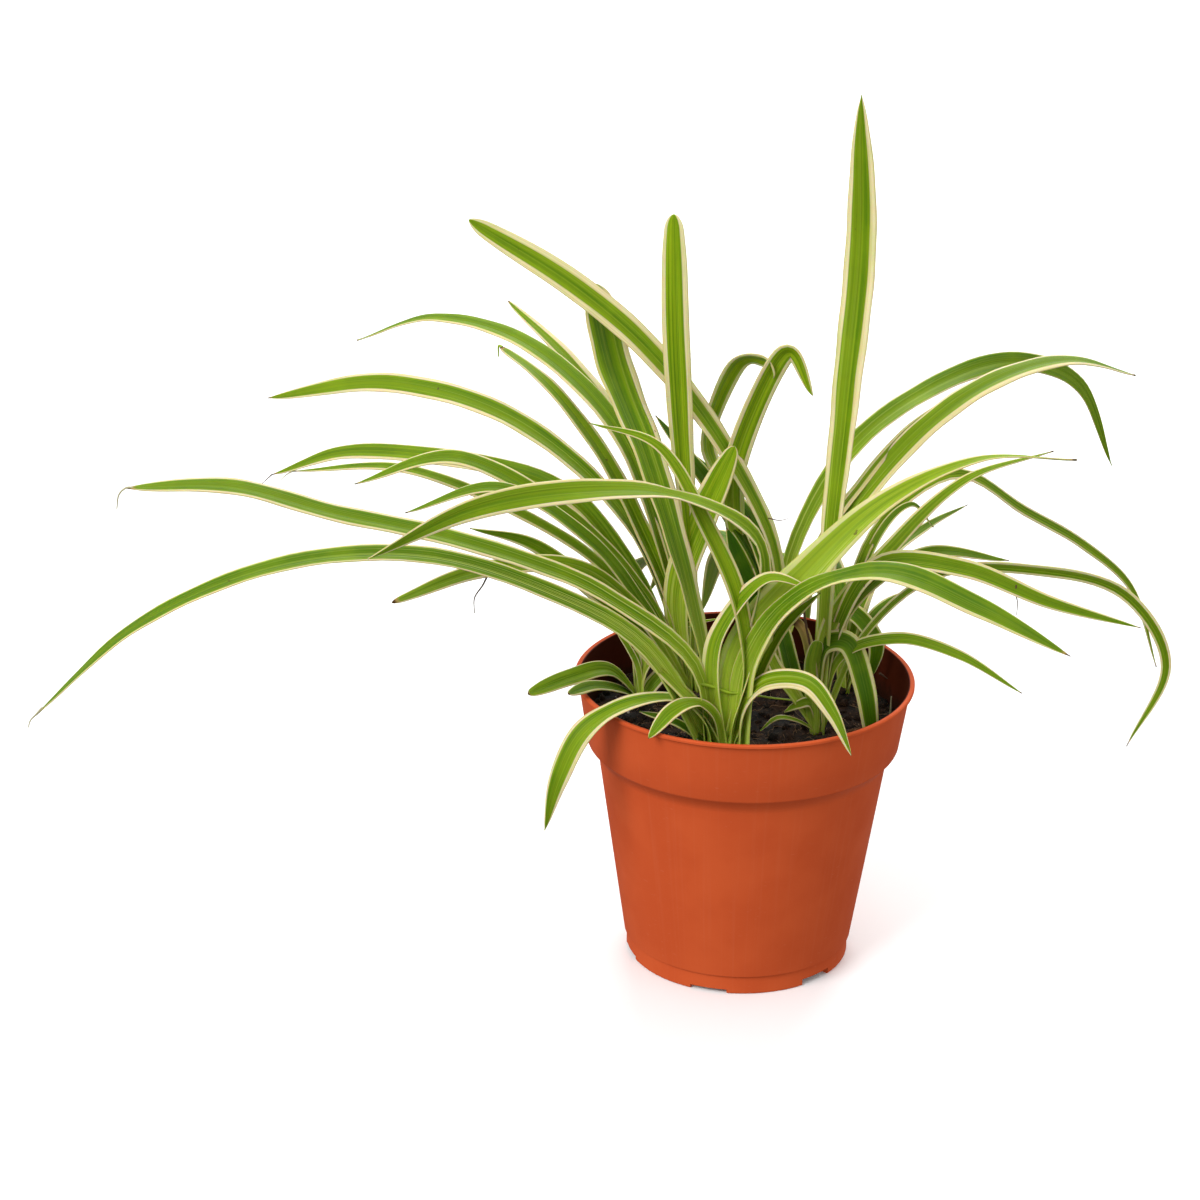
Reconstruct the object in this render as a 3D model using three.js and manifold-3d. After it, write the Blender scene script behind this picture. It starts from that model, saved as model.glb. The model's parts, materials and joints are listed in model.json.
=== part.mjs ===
// Potted spider plant: a 150 mm nursery pot, its soil, and six leafy crowns that stand in holes in the soil.
// Millimetres, +Z up. The origin is the centre of the pot's underside, +X is to the right and +Y to the back.
import * as THREE from 'three';
import { mergeVertices } from 'three/addons/utils/BufferGeometryUtils.js';
import Module from 'manifold-3d';

const wasm = await Module();
wasm.setup();

// Pot: radii and heights of its outside, from the foot to the lip
const SIDES = 48;
const WALL = 1.4;
const FLOOR = 1.8;
const FOOT_RADIUS = 50;
const FOOT_HEIGHT = 8.4;
const BODY_LOW_RADIUS = 51.2;
const BODY_LOW = 9.2;
const BODY_TOP_RADIUS = 64.1;
const BODY_TOP = 95.8;
const SHOULDER_RADIUS = 66.9;
const SHOULDER = 98.8;
const BAND_LOW_RADIUS = 69.1;
const BAND_LOW = 102.8;
const BAND_TOP_RADIUS = 73.4;
const BAND_TOP = 130.2;
const LIP_RADIUS = 75;
const POT_HEIGHT = 132;
const LIP_ROUND = 0.5;

// Drainage slots, cut through the foot and the edge of the floor, each with its own height
const SLOT_HEIGHTS = [2, 3.2, 3.2, 3.2, 3.2, 2];
const SLOT_WIDTH = 16.6;
const SLOT_DEPTH = 16;
const SLOT_CENTRE = 48;
const FIRST_SLOT = -106.4;

// Soil
const GAP = 0.4;
const SOIL_LOW = 4.4;
const SOIL_TOP = 111;
const LUMP = 1.5;
const LUMPS_EASE_FROM = 50;
const SOIL_RINGS = 5;

// Crowns and their leaves
const ROOT_LEVEL = 113;
const STOCK_DEPTH = 16;
const STOCK_SIDES = 12;
const STOCK_TOP_SHARE = 0.65;
const STOCK_RISE = 6.3;
const LEAF_START = 4;
const SLIVER = 0.03;
const STEPS_PER_SPAN = 3;
const LEAF_THICKNESS = 1.4;
const BASE_SHARE = 0.55;
const WIDEST_AT = 0.25;
const TAPER_FROM = 0.35;
const TIP_SHARE = 0.07;
const TAPER = 4;
const TIP_CROWDING = 0.35;
const FOLD_AT_BASE = 0.45;
const FOLD_AT_TIP = 0.12;

// Each crown's centre in plan, its root stock's radius, how far it stands above the others, and its leaves.
// A leaf lies in the upright plane that leaves the crown towards an angle in plan, in degrees from +X.
// by: the places that it passes, as [how far out, how high] from the crown. wide: its greatest width.
// roll: how far the blade is turned about its own length, in degrees, evenly spaced from the root to the tip.
// taper: how late the blade narrows, from about 1 for a slender tip to 9 for a blunt one.
// tip: the share of its width that is left at its tip. widest: the share of its length where it is widest.
const CROWNS = [
  { name: 'crown_front', at: [-9, -40], stock: 8, lift: 0, colour: '#86ad3c', leaves: [
    { toward: 198, wide: 9, roll: [-60, 0],
      by: [[37, 53], [81, 84], [135, 106], [195, 108], [252, 89], [296, 54]], taper: 6 },
    { toward: 188, wide: 10, roll: [-30, -25],
      by: [[15, 42], [53, 75], [84, 91], [126, 106], [168, 117], [209, 130], [252, 131]],
      taper: 9, tip: 0.15 },
    { toward: 121, wide: 21.5, roll: [45, 5],
      by: [[21, 41], [40, 76], [68, 115], [97, 146], [115, 180]], taper: 12, tip: 0.35, widest: 0.75 },
    { toward: 352, wide: 9, roll: [75, 25], by: [[-7, 31], [-4, 57], [15, 82], [38, 77]], taper: 2 },
    { toward: 12, wide: 17.5, roll: [15, 40, -20],
      by: [[6, 46], [34, 82], [67, 112], [108, 128], [151, 125]], taper: 1, widest: 0.2 },
    { toward: 336, wide: 13.5, roll: [90, 10, 60],
      by: [[10, 46], [33, 80], [70, 96], [111, 87], [150, 73]], taper: 3, widest: 0.45 },
    { toward: 355, wide: 6, roll: [50, 40], by: [[11, 31], [23, 59], [38, 76]] },
    { toward: 328, wide: 9.5, roll: [55, 30],
      by: [[7, 21], [18, 37], [38, 42], [51, 31], [61, 14]], taper: 3, widest: 0.3 },
    { toward: 190, wide: 12.5, roll: [10, -10, -100],
      by: [[16, 24], [41, 26], [62, 14], [73, -8], [79, -32]], taper: 3, widest: 0.6 },
    { toward: 218, wide: 8.5, roll: [-110, -10, -20],
      by: [[6, 18], [18, 28], [31, 27], [43, 18]], taper: 6, tip: 0.1, widest: 0.6 },
    { toward: 206, wide: 11.5, roll: [-110, -5, -110],
      by: [[-12, 50], [-13, 95], [26, 122], [73, 131], [120, 130], [165, 116]], taper: 5, widest: 0.3 },
    { toward: 178, wide: 9.5, roll: [-10, -55, -60],
      by: [[-8, 38], [-3, 73], [11, 105], [31, 139], [61, 149]], taper: 1.6, widest: 0.3 },
  ] },
  { name: 'crown_left', at: [-22, 28], stock: 8, lift: 0, colour: '#739c34', leaves: [
    { toward: 150, wide: 11, roll: [20, -65],
      by: [[31, 69], [90, 109], [161, 116], [231, 96]], taper: 3.5, widest: 0.45 },
    { toward: 160, wide: 9.5, roll: [-20, -45], by: [[34, 58], [74, 90], [159, 92], [207, 74]] },
    { toward: 170, wide: 6, roll: [-30, -30], by: [[34, 48], [73, 75], [131, 95], [184, 90]] },
    { toward: 180, wide: 9.5, roll: [-40, -30], by: [[23, 44], [58, 83], [106, 109], [151, 96]] },
    { toward: 192, wide: 7.5, roll: [-50, -25], by: [[22, 39], [48, 75], [88, 102], [130, 93]] },
    { toward: 138, wide: 10.5, roll: [30, -15, -30],
      by: [[20, 62], [48, 112], [101, 139], [162, 139], [215, 116]], taper: 2.2, widest: 0.35 },
    { toward: 146, wide: 10, roll: [-10, 0],
      by: [[12, 39], [30, 72], [51, 102], [80, 128], [107, 141]], taper: 3, tip: 0.2, widest: 0.35 },
    { toward: 126, wide: 9, roll: [45, -35],
      by: [[17, 55], [48, 101], [96, 128], [148, 144]], taper: 2.5, tip: 0.1, widest: 0.4 },
    { toward: 203, wide: 8.5, roll: [-50, -110],
      by: [[24, 32], [47, 53], [77, 80], [107, 92]], taper: 2.5, widest: 0.35 },
    { toward: 212, wide: 8, roll: [-80, -30],
      by: [[28, 41], [62, 71], [109, 79], [153, 73]], taper: 5, tip: 0.3, widest: 0.3 },
    { toward: 350, wide: 13.5, roll: [25, 70],
      by: [[-8, 42], [2, 81], [16, 117]], taper: 3, tip: 0.1, widest: 0.45 },
    { toward: 170, wide: 12, roll: [0, -105],
      by: [[2, 59], [7, 112], [11, 166], [13, 220]], taper: 10, tip: 0.6, widest: 0.7 },
    { toward: 110, wide: 11, roll: [0, 0], by: [[14, 34], [45, 46], [80, 26], [104, -8]] },
  ] },
  { name: 'crown_centre', at: [12, 35], stock: 8, lift: 0, colour: '#6b9430', leaves: [
    { toward: 174, wide: 12.5, roll: [-30, -35, -80],
      by: [[-3, 57], [18, 105], [51, 150], [89, 183], [136, 211]], taper: 9, tip: 0.2, widest: 0.65 },
    { toward: 150, wide: 12, roll: [0, 5, -70],
      by: [[3, 33], [12, 56], [24, 88], [34, 111], [21, 147], [7, 152], [2, 145]],
      taper: 8, tip: 0.2, widest: 0.6 },
    { toward: 165, wide: 12, roll: [15, -50, -65],
      by: [[7, 38], [17, 73], [17, 108], [-3, 157], [-16, 139]], taper: 5, tip: 0.1, widest: 0.6 },
    { toward: 155, wide: 10.5, roll: [-25, -15], by: [[1, 46], [27, 86], [58, 119]] },
    { toward: 140, wide: 10.5, roll: [-15, -10], by: [[-3, 40], [14, 76], [45, 99]] },
    { toward: 200, wide: 12.5, roll: [-70, -70], by: [[8, 39], [22, 78]] },
    { toward: 32, wide: 13, roll: [5, 15],
      by: [[19, 45], [46, 78], [81, 107], [120, 124], [164, 127], [205, 113]], widest: 0.45 },
    { toward: 42, wide: 10.5, roll: [-5, 20, 110],
      by: [[13, 60], [47, 101], [97, 119], [153, 121], [204, 99], [233, 51]], widest: 0.4 },
    { toward: 37, wide: 5.5, roll: [0, 40], by: [[28, 60], [52, 86], [76, 105], [99, 116]], taper: 2 },
    { toward: 100, wide: 12, roll: [0, 0], by: [[16, 30], [60, 40], [110, 20], [148, -25]] },
    { toward: 78, wide: 11, roll: [0, 0], by: [[16, 34], [52, 42], [95, 18], [122, -22]] },
    { toward: 118, wide: 11, roll: [0, 0], by: [[15, 40], [45, 56], [85, 38], [112, 4]] },
  ] },
  { name: 'crown_right', at: [33, -12], stock: 8, lift: 0, colour: '#7ea639', leaves: [
    { toward: 60, wide: 15.5, roll: [-25, 5],
      by: [[3, 77], [13, 145], [22, 213], [16, 280]], taper: 6, tip: 0.05, widest: 0.7 },
    { toward: 16, wide: 8, roll: [60, 20],
      by: [[2, 45], [29, 81], [62, 110], [103, 120]], taper: 1.6, widest: 0.3 },
    { toward: 34, wide: 5, roll: [25, 95],
      by: [[11, 50], [29, 89], [70, 105], [112, 79], [149, 55], [181, 26], [200, -17]], widest: 0.3 },
    { toward: 6, wide: 6, roll: [110, 110],
      by: [[17, 42], [49, 71], [91, 72], [132, 60], [154, 25], [139, -14]], taper: 5, widest: 0.5 },
    { toward: 352, wide: 8, roll: [-5, 55],
      by: [[5, 43], [23, 78], [60, 79], [97, 66], [136, 57]], taper: 3, widest: 0.45 },
    { toward: 20, wide: 7, roll: [25, 40], by: [[10, 52], [46, 76], [88, 68]] },
    { toward: 334, wide: 5.5, roll: [65, 40],
      by: [[8, 34], [34, 49], [63, 47], [92, 35]], taper: 3, widest: 0.45 },
    { toward: 330, wide: 9.5, roll: [85, 30],
      by: [[-2, 20], [1, 39], [13, 42], [21, 24], [25, 8]], taper: 9, tip: 0.4, widest: 0.5 },
    { toward: 190, wide: 5, roll: [-60, -20], by: [[4, 11], [10, 11], [16, 8]], taper: 3, widest: 0.5 },
    { toward: 200, wide: 3, roll: [-15, -25], by: [[10, 4], [20, 7], [28, 2]], taper: 3, widest: 0.4 },
    { toward: 175, wide: 8, roll: [-35, -40],
      by: [[12, 16], [21, 29], [27, 45]], taper: 3, tip: 0.3, widest: 0.5 },
    { toward: 150, wide: 9, roll: [-35, -20],
      by: [[12, 17], [20, 40], [29, 59]], taper: 5, tip: 0.2, widest: 0.5 },
  ] },
  { name: 'crown_back', at: [46, 30], stock: 6, lift: 0, colour: '#4f7d2a', leaves: [
    { toward: 330, wide: 8, roll: [85, 50],
      by: [[-2, 32], [4, 38], [15, 27], [14, 10]], taper: 6, tip: 0.2, widest: 0.4 },
    { toward: 48, wide: 6, roll: [-15, 45],
      by: [[9, 34], [27, 55], [58, 63], [88, 65]], taper: 2, widest: 0.35 },
    { toward: 25, wide: 7, roll: [25, 20], by: [[13, 31], [32, 43]] },
    { toward: 70, wide: 11, roll: [0, 0], by: [[14, 30], [46, 42], [84, 32]] },
    { toward: 100, wide: 9, roll: [0, 0], by: [[10, 36], [30, 50], [56, 40], [74, 12]] },
  ] },
  { name: 'crown_offset', at: [-46, 12], stock: 4.5, lift: 5, colour: '#7fae35', leaves: [
    { toward: 218, wide: 7.5, roll: [-30, -30], by: [[17, 15], [39, 17], [62, 18]] },
    { toward: 236, wide: 6, roll: [-30, -30], by: [[18, 8], [37, 16], [56, 21]] },
    { toward: 120, wide: 5, roll: [0, 0], by: [[2, 10], [5, 20]] },
    { toward: 30, wide: 5, roll: [0, 0], by: [[2, 9], [8, 17]] },
  ] },
];

const radians = THREE.MathUtils.degToRad;
const smooth = THREE.MathUtils.smoothstep;

// A geometry with its shared vertices merged and its collapsed triangles dropped
function closed(geometry) {
  geometry.deleteAttribute('normal');
  geometry.deleteAttribute('uv');
  const merged = mergeVertices(geometry);
  const corners = merged.index.array;
  const kept = [];
  for (let i = 0; i < corners.length; i += 3) {
    const [a, b, c] = corners.slice(i, i + 3);
    if (a !== b && b !== c && c !== a) kept.push(a, b, c);
  }
  merged.setIndex(kept);
  return merged;
}

function toSolid(geometry) {
  const merged = closed(geometry);
  return new wasm.Manifold(new wasm.Mesh({
    numProp: 3,
    vertProperties: new Float32Array(merged.attributes.position.array),
    triVerts: new Uint32Array(merged.index.array),
  }));
}

function toGeometry(solid) {
  const mesh = solid.getMesh();
  const geometry = new THREE.BufferGeometry();
  geometry.setAttribute('position', new THREE.BufferAttribute(mesh.vertProperties, 3));
  geometry.setIndex(new THREE.BufferAttribute(mesh.triVerts, 1));
  geometry.computeVertexNormals();
  return geometry;
}

// A solid of revolution about Z, from its profile of [radius, height]
function turned(profile, sides) {
  const points = profile.map(([r, z]) => new THREE.Vector2(r, z));
  return new THREE.LatheGeometry(points, sides).rotateX(Math.PI / 2);
}

// Pot: outside from the foot up, round the lip, and down the inside to the floor
function makePot() {
  const profile = [
    [0, 0],
    [FOOT_RADIUS, 0],
    [FOOT_RADIUS, FOOT_HEIGHT],
    [BODY_LOW_RADIUS, BODY_LOW],
    [BODY_TOP_RADIUS, BODY_TOP],
    [SHOULDER_RADIUS, SHOULDER],
    [BAND_LOW_RADIUS, BAND_LOW],
    [BAND_TOP_RADIUS, BAND_TOP],
    [LIP_RADIUS - LIP_ROUND, BAND_TOP],
    [LIP_RADIUS, BAND_TOP + LIP_ROUND],
    [LIP_RADIUS, POT_HEIGHT - LIP_ROUND],
    [LIP_RADIUS - LIP_ROUND, POT_HEIGHT],
    [LIP_RADIUS - WALL, POT_HEIGHT],
    [BAND_TOP_RADIUS - WALL, BAND_TOP - WALL],
    [BAND_LOW_RADIUS - WALL, BAND_LOW + WALL / 2],
    [BODY_TOP_RADIUS - WALL, BODY_TOP],
    [BODY_LOW_RADIUS - WALL, BODY_LOW + WALL / 2],
    [FOOT_RADIUS - WALL, FOOT_HEIGHT],
    [FOOT_RADIUS - WALL, FLOOR],
    [0, FLOOR],
  ];
  let pot = toSolid(turned(profile, SIDES));
  SLOT_HEIGHTS.forEach((height, i) => {
    const slot = new THREE.BoxGeometry(SLOT_DEPTH, SLOT_WIDTH, height * 2);
    slot.translate(SLOT_CENTRE, 0, 0);
    slot.rotateZ(radians(FIRST_SLOT + (i * 360) / SLOT_HEIGHTS.length));
    pot = pot.subtract(toSolid(slot));
  });
  return toGeometry(pot);
}

// Lumps of the soil's surface, a coarse and a fine set of waves, level at the pot's wall
function lump(x, y) {
  const coarse = Math.sin(x * 0.19 + 1) * Math.cos(y * 0.23);
  const fine = Math.sin(x * 0.41 - y * 0.37) * 0.6;
  return LUMP * (coarse + fine) * (1 - smooth(Math.hypot(x, y), LUMPS_EASE_FROM, BAND_LOW_RADIUS - WALL));
}

function stockRadius(crown) {
  return crown.stock - GAP;
}

// Soil: a plug that fills the pot, with a lumpy top and a plain hole for each crown
function makeSoil() {
  const edge = BAND_LOW_RADIUS - WALL - GAP;
  const slope = (BAND_TOP_RADIUS - BAND_LOW_RADIUS) / (BAND_TOP - BAND_LOW);
  const topRadius = edge + (SOIL_TOP - BAND_LOW) * slope - GAP / 2;
  const profile = [
    [0, SOIL_LOW],
    [FOOT_RADIUS - WALL - GAP, SOIL_LOW],
    [FOOT_RADIUS - WALL - GAP, FOOT_HEIGHT + GAP],
    [BODY_LOW_RADIUS - WALL - GAP, BODY_LOW + WALL],
    [BODY_TOP_RADIUS - WALL - GAP, BODY_TOP],
    [edge - GAP / 2, BAND_LOW + WALL / 2 + GAP],
  ];
  for (let i = SOIL_RINGS; i >= 0; i--) profile.push([(topRadius * i) / SOIL_RINGS, SOIL_TOP]);
  const plug = turned(profile, SIDES);
  const place = plug.attributes.position;
  for (let i = 0; i < place.count; i++) {
    if (place.getZ(i) > SOIL_TOP - LUMP) {
      place.setZ(i, SOIL_TOP + lump(place.getX(i), place.getY(i)));
    }
  }
  let soil = toSolid(plug);
  for (const crown of CROWNS) {
    const depth = STOCK_DEPTH * 2;
    const hole = new THREE.CylinderGeometry(crown.stock, crown.stock, depth, STOCK_SIDES);
    hole.rotateX(Math.PI / 2);
    hole.translate(crown.at[0], crown.at[1], ROOT_LEVEL - STOCK_DEPTH - GAP + depth / 2);
    soil = soil.subtract(toSolid(hole));
  }
  return toGeometry(soil);
}

// The share of its full width that a leaf has at a share s of its length
function widthAt(s, leaf) {
  const { taper = TAPER, tip = TIP_SHARE, widest = WIDEST_AT } = leaf;
  const base = BASE_SHARE + (1 - BASE_SHARE) * smooth(s, 0, widest);
  const late = Math.max(0, (s - TAPER_FROM) / (1 - TAPER_FROM));
  return base * (1 - (1 - tip) * late ** taper);
}

// The roll in radians that a leaf has at a share s of its length
function rollAt(s, roll) {
  const place = s * (roll.length - 1);
  const first = Math.min(Math.floor(place), roll.length - 2);
  return radians(roll[first] + (roll[first + 1] - roll[first]) * (place - first));
}

// One leaf: a thin blade folded along its middle, with four corners at each station along its curve
function makeLeaf(crown, leaf) {
  const [x, y] = crown.at;
  const angle = radians(leaf.toward);
  const out = new THREE.Vector3(Math.cos(angle), Math.sin(angle), 0);
  const across = new THREE.Vector3(-Math.sin(angle), Math.cos(angle), 0);
  const root = new THREE.Vector3(x, y, ROOT_LEVEL + crown.lift);
  const points = [[0, LEAF_START], ...leaf.by].map(([reach, height]) => {
    const point = root.clone().addScaledVector(out, reach);
    point.z += height;
    return point;
  });
  const curve = new THREE.CatmullRomCurve3(points, false, 'catmullrom', 0.5);
  const steps = leaf.by.length * STEPS_PER_SPAN;
  const corners = [];
  for (let i = 0; i <= steps; i++) {
    const share = i / steps;
    const s = share + TIP_CROWDING * share * (1 - share);
    const up = curve.getTangent(s).cross(across);
    const roll = rollAt(s, leaf.roll);
    const side = across.clone().multiplyScalar(Math.cos(roll)).addScaledVector(up, Math.sin(roll));
    const face = up.clone().multiplyScalar(Math.cos(roll)).addScaledVector(across, -Math.sin(roll));
    const half = (leaf.wide * widthAt(s, leaf)) / 2;
    const raise = half * (FOLD_AT_BASE + (FOLD_AT_TIP - FOLD_AT_BASE) * s);
    const middle = curve.getPoint(s).addScaledVector(face, -raise / 2);
    const edge = middle.clone().addScaledVector(face, raise);
    const thick = LEAF_THICKNESS / 2;
    corners.push(
      edge.clone().addScaledVector(side, half),
      middle.clone().addScaledVector(face, thick),
      edge.clone().addScaledVector(side, -half),
      middle.clone().addScaledVector(face, -thick),
    );
  }
  const faces = [];
  for (let i = 0; i < steps; i++) {
    for (let k = 0; k < 4; k++) {
      const a = i * 4 + k;
      const b = i * 4 + ((k + 1) % 4);
      // The edge corners, 0 and 2, hold both diagonals, so that the upper and lower face are split alike
      if (k % 2 === 0) faces.push(a, b, b + 4, a, b + 4, a + 4);
      else faces.push(a, b, a + 4, b, b + 4, a + 4);
    }
  }
  const end = steps * 4;
  faces.push(0, 2, 1, 0, 3, 2, end, end + 1, end + 2, end, end + 2, end + 3);
  const geometry = new THREE.BufferGeometry();
  geometry.setAttribute('position', new THREE.Float32BufferAttribute(corners.flatMap((p) => p.toArray()), 3));
  geometry.setIndex(faces);
  return geometry;
}

// Crown: a root stock that stands in its hole, with every leaf fused to it
function makeCrown(crown) {
  const top = ROOT_LEVEL + crown.lift + STOCK_RISE;
  const bottom = ROOT_LEVEL - STOCK_DEPTH;
  const radius = stockRadius(crown);
  const stock = new THREE.CylinderGeometry(radius * STOCK_TOP_SHARE, radius, top - bottom, STOCK_SIDES);
  stock.rotateX(Math.PI / 2);
  stock.translate(crown.at[0], crown.at[1], (top + bottom) / 2);
  let body = toSolid(stock);
  for (const leaf of crown.leaves) body = body.add(toSolid(makeLeaf(crown, leaf)));
  // The largest piece is the outer skin, without the sealed pockets that crossing leaves leave between them
  const parts = body.simplify(SLIVER).decompose();
  return toGeometry(parts.reduce((a, b) => (a.volume() > b.volume() ? a : b)));
}

function piece(name, geometry, colour, roughness) {
  const material = new THREE.MeshStandardMaterial({ color: colour, roughness, metalness: 0 });
  const mesh = new THREE.Mesh(geometry, material);
  mesh.name = name;
  return mesh;
}

const plant = new THREE.Group();
plant.add(piece('pot', makePot(), '#c85a36', 0.5));
plant.add(piece('soil', makeSoil(), '#2c1e16', 0.95));
for (const crown of CROWNS) plant.add(piece(crown.name, makeCrown(crown), crown.colour, 0.45));

export default plant;
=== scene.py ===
# Potted spider plant: a moulded nursery pot, its compost, and six crowns of long cream-edged leaves.
# The tables are in millimetres and degrees. Blender's lengths are metres, with +X right and +Y back.
import json
import math
import random

import bmesh
import bpy
from bpy.props import FloatProperty, FloatVectorProperty, IntProperty, PointerProperty
from bpy.types import Operator, Panel, PropertyGroup
from mathutils import Matrix, Vector, noise

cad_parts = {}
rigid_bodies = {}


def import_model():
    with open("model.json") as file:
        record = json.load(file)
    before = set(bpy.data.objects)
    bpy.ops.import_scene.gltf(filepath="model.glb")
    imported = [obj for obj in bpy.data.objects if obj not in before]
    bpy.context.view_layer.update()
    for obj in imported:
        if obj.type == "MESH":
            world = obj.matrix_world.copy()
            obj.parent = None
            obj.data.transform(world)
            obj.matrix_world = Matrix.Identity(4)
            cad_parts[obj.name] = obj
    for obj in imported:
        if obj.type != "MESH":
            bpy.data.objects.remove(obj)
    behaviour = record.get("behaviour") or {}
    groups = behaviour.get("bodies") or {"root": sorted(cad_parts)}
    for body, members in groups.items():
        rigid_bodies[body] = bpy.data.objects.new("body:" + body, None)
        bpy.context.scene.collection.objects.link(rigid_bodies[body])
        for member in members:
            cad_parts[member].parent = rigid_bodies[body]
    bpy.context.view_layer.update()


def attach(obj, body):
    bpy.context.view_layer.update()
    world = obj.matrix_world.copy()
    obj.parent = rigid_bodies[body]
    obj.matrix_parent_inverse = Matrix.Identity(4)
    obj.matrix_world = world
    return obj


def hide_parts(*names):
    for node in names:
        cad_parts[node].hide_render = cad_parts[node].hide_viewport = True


bl_info = {
    "name": "Potted Spider Plant",
    "version": (1, 0, 0),
    "blender": (4, 5, 0),
    "location": "View3D > Sidebar > Plant",
    "description": "Dresses the solids of a potted spider plant with leaves, compost and a moulded pot",
    "category": "Add Mesh",
}

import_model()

MM = 0.001
# The height of a crown's foot, and where its leaves start from there
ROOT_LEVEL = 113
LEAF_START = -3


def colour(red, green, blue):
    """A colour given in ordinary screen values, as Blender's linear one"""
    shades = []
    for value in (red, green, blue):
        share = value / 255
        shades.append(share / 12.92 if share <= 0.04045 else ((share + 0.055) / 1.055) ** 2.4)
    return (*shades, 1)


def tint(name, screen, text):
    """A colour setting with its default"""
    return FloatVectorProperty(
        name=name, description=text, subtype="COLOR", size=4, min=0, max=1, default=colour(*screen)
    )


def amount(name, value, text, low=0, **kind):
    """A number setting with its default"""
    return FloatProperty(name=name, description=text, default=value, min=low, **kind)


def length(name, size, text):
    """A length setting in metres, with its default given in millimetres"""
    return amount(name, size * MM, text, unit="LENGTH")


# Leaves

# Each leaf lies in the upright plane that leaves its crown towards an angle in plan, from +X.
# by: the places it passes, as how far out and how high from the crown. wide: its greatest width.
# roll: how far the blade is turned about its own length, evenly spaced from the root to the tip.
# root: how far its foot stands off the crown's centre. foot: the share of its width that it has there.
# taper: how late it narrows. tip: the share of its width that is left at its tip.
# widest: the share of its length where it is widest. edge: the cream margins' shares, on its two sides.
# tone: 0 for fresh green to 1 for dark green: older leaves, and painted shade deep in the clump. dry: the
# share of its length that is brown.
# pale: the share of its length that stays pale at the root, stretched far up on a few shaded leaves as
# painted light. lines: how plain its pale streaks are.
LEAF_DEFAULTS = {
    "root": (0, 0),
    "foot": 0.55,
    "taper": 4,
    "tip": 0.04,
    "widest": 0.25,
    "edge": (0.14, 0.14),
    "tone": 0.4,
    "dry": 0.01,
    "pale": 0.25,
    "lines": 0.5,
}


def leaf(toward, wide, roll, by, **look):
    row = dict(LEAF_DEFAULTS, toward=toward, wide=wide, roll=roll, by=by)
    row.update(look)
    return row


FRONT_LEAVES = [
    leaf(198, 9, (-60, 0), [(37, 53), (81, 84), (135, 106), (195, 108), (252, 89), (296, 54)],
         root=(-5, 0), foot=1.2, taper=6, edge=(0.07, 0.08), tone=0.6, dry=0.006, pale=0.3, lines=0.9),
    leaf(188, 10, (-30, -25),
         [(15, 42), (53, 75), (84, 91), (126, 106), (168, 117), (209, 130), (252, 131)],
         root=(-7, 0), foot=1.1, taper=9, tip=0.15, edge=(0.1, 0.12), tone=0.45, dry=0.008, lines=0.7),
    leaf(121, 21.5, (45, 5), [(21, 41), (40, 76), (68, 115), (97, 146), (115, 180)],
         taper=12, tip=0.35, widest=0.75, edge=(0.16, 0.06), tone=0.45, dry=0, pale=0.45, lines=0.8),
    leaf(352, 9, (75, 25), [(-7, 31), (-4, 57), (15, 82), (38, 77)],
         taper=2, edge=(0.08, 0.2), tone=0.15, dry=0, pale=0.55, lines=0.8),
    leaf(12, 17.5, (70, 55, -20), [(6, 46), (34, 82), (67, 112), (108, 128), (151, 125)],
         root=(1, 0), foot=0.7, taper=0.8, widest=0.2, edge=(0.13, 0.15), tone=0.1, pale=0.8, lines=1),
    leaf(336, 13.5, (90, 10, 60), [(10, 46), (33, 80), (70, 96), (111, 87), (150, 73)],
         root=(4, 0), foot=1, taper=3, widest=0.45, edge=(0.14, 0.04), tone=0.65, dry=0.012, pale=0.35),
    leaf(355, 6, (50, 40), [(11, 31), (23, 59), (38, 76)], tone=0.3, pale=0.5),
    leaf(328, 9.5, (55, 30), [(7, 21), (18, 37), (38, 42), (51, 31), (61, 14)],
         root=(5, 0), foot=0.9, taper=3, widest=0.3, edge=(0.28, 0.12), tone=0.3, dry=0.004, pale=0.3),
    leaf(190, 12.5, (10, -10, -100), [(16, 24), (41, 26), (62, 14), (73, -8), (79, -32)],
         taper=3, widest=0.6, edge=(0.12, 0.16), tone=0.35, dry=0, pale=0.3),
    leaf(218, 8.5, (-110, -10, -20), [(6, 18), (18, 28), (31, 27), (43, 18)],
         taper=6, tip=0.1, widest=0.6, edge=(0.1, 0.12), tone=0.45, dry=0.004, pale=0.3),
    leaf(206, 11.5, (-110, -5, -110), [(-12, 50), (-13, 95), (26, 122), (73, 131), (120, 130), (165, 116)],
         taper=5, widest=0.3, edge=(0.1, 0.15), tone=0.35, dry=0, pale=0.3),
    leaf(178, 9.5, (-10, -55, -60), [(-8, 38), (-3, 73), (11, 105), (31, 139), (61, 149)],
         taper=1.6, widest=0.3, edge=(0.14, 0.12), tone=0.15, dry=0.004, pale=0.4),
    leaf(198, 10, (-15, -40), [(10, 17), (24, 35), (44, 57)],
         root=(-6, -2), foot=0.95, taper=3, tip=0.3, tone=0.15, dry=0, pale=1.2, lines=1),
    leaf(336, 8, (20, 30), [(3, 14), (6, 26), (10, 40)],
         root=(3, 3), foot=1, taper=3, tip=0.2, tone=0.1, dry=0, pale=1.2, lines=1),
    leaf(195, 5, (-40, -30), [(13, 9), (24, 17), (39, 23)], tone=0.8, dry=0, pale=0.1),
]
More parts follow.
